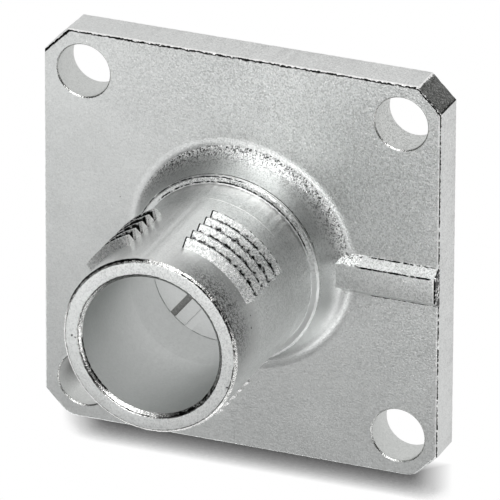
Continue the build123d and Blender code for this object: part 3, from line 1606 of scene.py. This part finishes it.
@dataclass
class Studio:
    """The white floor, the white background and the camera."""

    footprint: float
    hole_spacing: float
    floor_size: float = 6000.0
    paper: str = "#ECECEC"
    side_fade: float = 2.8
    shadow_reach: float = 2.8
    shadow_lean: float = 0.8
    shadow_gap: float = 1.2
    shadow_fade: float = 1.2
    shadow_depth: float = 4.2
    hole_reach: float = 2.1
    bore_mirrored: float = 0.88
    mirrored: float = 0.83
    ambient: float = 0.080
    camera_place: tuple[float, float, float] = (226.46, 276.57, 561.04)
    camera_aim: tuple[float, float, float] = (-0.43, -0.92, 0.0)
    camera_roll: float = 0.26
    lens: float = 813.6
    sensor: float = 36.0
    nearest: float = 10.0
    farthest: float = 20000.0

    def floor(self) -> bpy.types.Object:
        """Lay the white floor under the flange.

        Returns:
            The floor's object.
        """
        half = self.floor_size / 2 * MM
        mesh = bpy.data.meshes.new("floor")
        corners = [(-half, -half, 0), (half, -half, 0), (half, half, 0), (-half, half, 0)]
        mesh.from_pydata(corners, [], [(0, 1, 2, 3)])
        mesh.materials.append(self.floor_material())
        return object_of(mesh, "floor")

    def floor_material(self) -> bpy.types.Material:
        """Make the floor matt white paper that shows the part's soft shadow along its lower edge.

        Returns:
            The floor's material.
        """
        material = bpy.data.materials.new("white_paper")
        tree = start(material)
        lean = {"Y": self.shadow_lean, "Z": math.sqrt(1 - self.shadow_lean**2)}
        normal = add(tree, "ShaderNodeCombineXYZ", lean)[0]
        inputs = {"Distance": self.shadow_reach * MM, "Normal": normal}
        shade = add(tree, "ShaderNodeAmbientOcclusion", inputs, samples=8)["AO"]
        place = add(tree, "ShaderNodeTexCoord")["Object"]
        axes = add(tree, "ShaderNodeSeparateXYZ", {0: place})
        x, y = axes["X"], axes["Y"]
        across, along = abs(x), abs(y)
        half, spacing = self.footprint / 2 * MM, self.hole_spacing / 2 * MM
        straight = add(tree, "ShaderNodeLightPath")["Is Camera Ray"]
        hole = (abs(across - spacing) | abs(along - spacing)) < self.hole_reach * MM
        # Painted reflection: under each screw hole, a ramp from dark at its left to white that only
        # reflections see
        hole_wall_reflection = (x - x.sum("SIGN") * spacing).ramp(-self.hole_reach * MM, 0.0)
        edge = -half - self.shadow_gap * MM
        beside = y.ramp(edge, edge + self.shadow_fade * MM) | across.ramp(half - self.side_fade * MM, half)
        # Painted shadow: ambient occlusion leaning towards +Y, kept only past the lower edge
        light = shade**self.shadow_depth | hole * (straight | hole_wall_reflection) | beside
        bore = (across | along) < half / 2
        level = straight | bore.ramp(0.0, 1.0, self.mirrored, self.bore_mirrored)
        glow = add(tree, "ShaderNodeEmission", {"Strength": light * level})[0]
        paper = add(tree, "ShaderNodeBsdfDiffuse", {"Color": linear(self.paper)})[0]
        mixed = add(tree, "ShaderNodeMixShader", {0: self.seen(tree), 1: paper, 2: glow})[0]
        add(tree, "ShaderNodeOutputMaterial", {"Surface": mixed})
        return material

    def seen(self, tree: bpy.types.NodeTree) -> Wire:
        """Tell what the camera sees, straight or in the metal, from what only lights the part.

        Args:
            tree: The floor's tree.

        Returns:
            1 for a ray from the camera or a reflection, and 0 for the rest.
        """
        path = add(tree, "ShaderNodeLightPath")
        return path["Is Camera Ray"] | path["Is Glossy Ray"] | path["Is Transmission Ray"]

    def world(self) -> None:
        """Make the background white, and the room round the part a dim even grey."""
        world = bpy.data.worlds.new("studio")
        tree = start(world)
        straight = add(tree, "ShaderNodeLightPath")["Is Camera Ray"]
        white = linear("#FFFFFF")
        room = add(tree, "ShaderNodeBackground", {"Color": white, "Strength": self.ambient})[0]
        back = add(tree, "ShaderNodeBackground", {"Color": white, "Strength": 1.0})[0]
        mixed = add(tree, "ShaderNodeMixShader", {0: straight, 1: room, 2: back})[0]
        add(tree, "ShaderNodeOutputWorld", {"Surface": mixed})
        bpy.context.scene.world = world

    def camera(self) -> bpy.types.Object:
        """Set the long lens at the photograph's viewing angle.

        Returns:
            The camera's object.
        """
        place, aim = Vector(self.camera_place), Vector(self.camera_aim)
        back = (place - aim).normalized()
        right = Vector((0, 1, 0)).cross(back).normalized()
        roll = Matrix.Rotation(math.radians(self.camera_roll), 3, "Z")
        turn = Matrix((right, back.cross(right), back)).transposed() @ roll
        camera = bpy.data.cameras.new("camera")
        camera.lens = self.lens
        camera.sensor_width = self.sensor
        camera.clip_start = self.nearest * MM
        camera.clip_end = self.farthest * MM
        item = object_of(camera, "camera")
        item.matrix_world = Matrix.Translation(place * MM) @ turn.to_4x4()
        bpy.context.scene.camera = item
        return item


LAMPS = (
    Softbox("top_low_down", azimuth=90, elevation=10, power=0.1072),
    Softbox("low_left_low_down", azimuth=210, elevation=10, power=0.0485),
    Softbox("low_left_low_down_2", azimuth=240, elevation=10, power=0.0801),
    Softbox("low_right_low_down", azimuth=300, elevation=10, power=0.0470),
    Softbox("low_right_low_down_2", azimuth=330, elevation=10, power=0.0511),
    Softbox("top_mid", azimuth=75, elevation=30, power=0.1453),
    Softbox("top_mid_2", azimuth=105, elevation=30, power=0.0420),
    Softbox("low_mid", azimuth=285, elevation=30, power=0.0570),
    Softbox("right_mid", azimuth=345, elevation=30, power=0.0435),
    Softbox("top_right_high", azimuth=67.5, elevation=52, power=0.0366),
    Softbox("top_high", azimuth=112.5, elevation=52, power=0.0723),
    Softbox("low_high", azimuth=292.5, elevation=52, power=0.0394),
    Softbox("right_high", azimuth=337.5, elevation=52, power=0.0308),
    Softbox("top_left_steep", azimuth=135, elevation=72, power=0.0317),
    Softbox("low_left_steep", azimuth=225, elevation=72, power=0.0116),
    Softbox("overhead", azimuth=0, elevation=90, power=0.0996),
    Softbox("near_left_mid", azimuth=195, elevation=36, power=0.0082, size=60, distance=110),
    Softbox("near_left_high", azimuth=200, elevation=62, power=0.0072, size=60, distance=110),
    Softbox("near_low_high", azimuth=250, elevation=45, power=0.0109, size=150, distance=150),
)

# Painted edge shade (dark) and painted highlights (pale) round the collar and the seal seat's step
COLLAR_LINES = (
    Ring(radius=5.95, height=4.72, width=0.04, first=20, last=185, break_share=0.3),
    Ring(radius=5.95, height=4.84, width=0.05, first=40, last=150, break_share=0.1, colour=PALE_GRAIN_AND_HIGHLIGHT),
    Ring(radius=5.9, height=4.98, width=0.035, first=75, last=170, break_share=0.4),
    Ring(radius=5.6, height=5.05, width=0.04, first=20, last=140, break_share=0.5),
    Ring(radius=5.5, height=7.2, width=0.03, first=40, last=97, break_share=0.1, colour=PALE_GRAIN_AND_HIGHLIGHT),
)

# Painted edge shade (dark) and painted highlights (pale) round the rim's outer edge and the bore's mouth
RIM_LINES = (
    Ring(radius=5.42, height=16.32, width=0.13, first=90, last=165, break_share=0.0),
    Ring(radius=5.46, height=16.22, width=0.09, first=1, last=75, break_share=0.25),
    Ring(radius=5.3, height=16.45, width=0.04, first=1, last=75, break_share=0.5),
    Ring(radius=5.36, height=16.4, width=0.08, first=165, last=330, break_share=0.0, colour=PALE_GRAIN_AND_HIGHLIGHT),
    Ring(radius=5.25, height=16.49, width=0.03, first=160, last=359, break_share=0.1, colour=WORN_AND_EDGE_SHADE_GREY),
    Ring(radius=4.42, height=16.4, width=0.08, first=170, last=250, colour=PALE_GRAIN_AND_HIGHLIGHT),
    Ring(radius=4.46, height=16.45, width=0.03),
    Ring(radius=4.29, height=16.27, width=0.05, first=180, last=235, break_share=0.5),
    Ring(radius=4.4, height=16.37, width=0.12, first=285, last=340, break_share=0.6),
)

# Painted edge shade (dark) and a painted highlight (pale) along the rib's edges
RIB_LINES = (
    Ring(radius=1.2, height=2.56, width=0.045, straight=True, first=8, last=12.4, break_share=0.6),
    Ring(radius=0.74, height=3.2, width=0.05, straight=True, first=7.5, last=12.4, break_share=0.5),
    Ring(radius=-1.25, height=2.52, width=0.04, straight=True, first=8, last=12.4, break_share=0.4),
    Ring(radius=-1.1, height=2.72, width=0.04, straight=True, first=8, last=12.4, colour=PALE_GRAIN_AND_HIGHLIGHT),
)

# Painted highlights (pale) and painted shade (dark) on the barrel, where its reflections are lighter or
# darker
BARREL_PAINTED_LIGHT = (
    PaintedLightBand(middle=94, half_width=26, strong=9.0, gone=7.0, share=0.4, colour=PALE_GRAIN_AND_HIGHLIGHT),
    PaintedLightBand(middle=355, half_width=42, strong=8.0, gone=5.5, share=0.14, colour=PAINTED_SHADE_DARK),
    PaintedLightBand(middle=32, half_width=52, strong=15.4, gone=12.6, share=0.9, colour=PAINTED_SHADE_DARK, grained=0.6),
    PaintedLightBand(middle=75, half_width=60, strong=5.1, gone=6.4, share=0.8, colour=PALE_GRAIN_AND_HIGHLIGHT),
)

# Painted shade: a dark streak on the left wall of the lower left screw hole
HOLE_PAINTED_SHADE = PaintedLightBand(middle=219, half_width=7, strong=0.5, gone=3.5, share=0.85, colour=PAINTED_SHADE_DARK, reach=20)

BARREL_MARKS = (
    Mark(place=(5.34, 1.09, 14.0), radius=0.07),
    Mark(place=(5.17, 1.73, 13.7), radius=0.06),
    Mark(place=(5.12, 1.86, 14.6), radius=0.05),
)

# A painted highlight on each of the low stubs, at the thread's pitch
STUB_HIGHLIGHTS = tuple(
    Mark(place=(3.51, -4.49, 14.13 - turn * PITCH), radius=0.25, colour=PALE_GRAIN_AND_HIGHLIGHT) for turn in range(TURNS)
)

RIM_MARKS = (
    Mark(place=(-4.84, -0.13, 16.5), radius=0.07, colour=NICK_AND_SHADE_DARK),
    Mark(place=(-4.63, -0.24, 16.5), radius=0.05, colour=NICK_AND_SHADE_DARK),
    Mark(place=(4.86, -1.72, 16.5), radius=0.07, colour=NICK_AND_SHADE_DARK),
    Mark(place=(5.0, -1.77, 16.5), radius=0.05, colour=NICK_AND_SHADE_DARK),
)

# Pale specks that paint glints on the grain
FINE_GLINT_SPECKS = Dots(spacing=0.42, share=0.12)

# Each finish, under what its making gives the eye and what light or shade is painted into it
FINISHES = (
    # Blasted matt: a soft grey grain with painted glint specks, strongest towards the +X +Y corner, painted
    # edge shade and highlights, painted shade in the grooves and painted light and shade on the barrel
    PaintedEdgeSkin(
        Surface.SKIN,
        dull_share=0.28,
        bright_share=0.28,
        glint_specks=Dots(spacing=0.32, share=0.45),
        marks=BARREL_MARKS,
        painted_light_bands=BARREL_PAINTED_LIGHT,
        rings=COLLAR_LINES + RIB_LINES,
    ),
    # Slopes with coarse dark and bright grain, strongest along the foot's upper side, with painted glint
    # specks and painted edge lines
    FlareFinish(
        Surface.FLARE,
        roughness=0.4,
        grain_depth=0.05,
        dull="#262725",
        dull_share=1.0,
        bright_share=0.7,
        strength_from=0.0,
        strength_to=4.0,
        strength_least=0.1,
        glint_specks=FINE_GLINT_SPECKS,
        rings=COLLAR_LINES + RIB_LINES,
    ),
    # Ridges with a pale grain in streaks along them, which partly paints their highlights, over painted shade
    # in the grooves
    RidgeFinish(
        Surface.CREST,
        colour="#E6E8E7",
        grain=0.045,
        roughness=0.3,
        dull_share=0.35,
        bright_share=0.9,
        strength_least=0.7,
        glint_specks=FINE_GLINT_SPECKS,
        marks=STUB_HIGHLIGHTS,
    ),
    # Worn smoother than the skin, so the edges glint between dark nicks, with painted glint specks and the
    # painted edge lines of the rim and collar
    NickelFinish(
        Surface.EDGE,
        colour="#C8C9C7",
        grain=0.06,
        roughness=0.18,
        grain_depth=0.03,
        dull=NICK_AND_SHADE_DARK,
        dull_share=0.5,
        bright_share=0.5,
        strength_least=0.8,
        glint_specks=FINE_GLINT_SPECKS,
        rings=RIM_LINES + COLLAR_LINES,
    ),
    # Faced flat: pale, even and finely grained
    NickelFinish(
        Surface.RIM,
        colour="#E6E8E7",
        roughness=0.36,
        grain_depth=0.012,
        dimple_depth=0.004,
        dull_share=0.25,
        strength_least=0.6,
        marks=RIM_MARKS,
        rings=RIM_LINES,
    ),
    # Reamed: an even satin that mirrors softly, with hardly any grain
    NickelFinish(
        Surface.BORE,
        roughness=0.4,
        grain=0.11,
        grain_depth=0.012,
        dimple_depth=0.001,
        mottle_tone=0.03,
        dull_share=0.1,
        bright_share=0.1,
        rings=RIM_LINES,
    ),
    # Where the reamer stopped: fully matt, so it reads as a hairline
    NickelFinish(Surface.LEDGE, colour="#F2F3F2", roughness=0.9, grain_depth=0.003),
    # Broached, and painted darker than the bore round it as the shade in the slot
    NickelFinish(Surface.KEYWAY, colour="#8A8B89", roughness=0.5, grain_depth=0.003),
    # Punched: smooth walls, with a streak of painted shade in the lower left hole
    NickelFinish(Surface.HOLE, colour="#DADCDA", roughness=0.36, grain_depth=0.006, painted_light_bands=(HOLE_PAINTED_SHADE,)),
    # Broken off the runner: dull grey metal, its ragged borders painted as highlights and a dark edge line
    GateFinish(
        Surface.GATE,
        colour="#60615F",
        grain_depth=0.03,
        dull=NICK_AND_SHADE_DARK,
        dull_share=0.5,
        bright_share=0.15,
        glint_specks=FINE_GLINT_SPECKS,
    ),
)


def main() -> None:
    """Build the housing and its studio."""
    logging.basicConfig(level=logging.INFO, format="%(name)s: %(message)s")
    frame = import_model()
    bpy.context.scene.view_settings.view_transform = "Standard"
    LOG.info("frame: nodes %s", sorted(frame["nodes"]))
    finishes = {finish.surface: finish.material() for finish in FINISHES}
    low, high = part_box(NODE)
    housing = Housing(low, high)
    piece = housing.build(finishes)
    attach(piece, BODY)
    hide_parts(NODE)
    LOG.info("housing: %d faces in %d finishes", len(piece.data.polygons), len(piece.data.materials))
    studio = Studio(footprint=housing.plate.width, hole_spacing=housing.holes.spacing)
    studio.floor()
    studio.world()
    for softbox in LAMPS:
        softbox.build()
        LOG.info("lamp %s", softbox.name)
    studio.camera()
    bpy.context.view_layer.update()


if __name__ == "__main__":
    main()
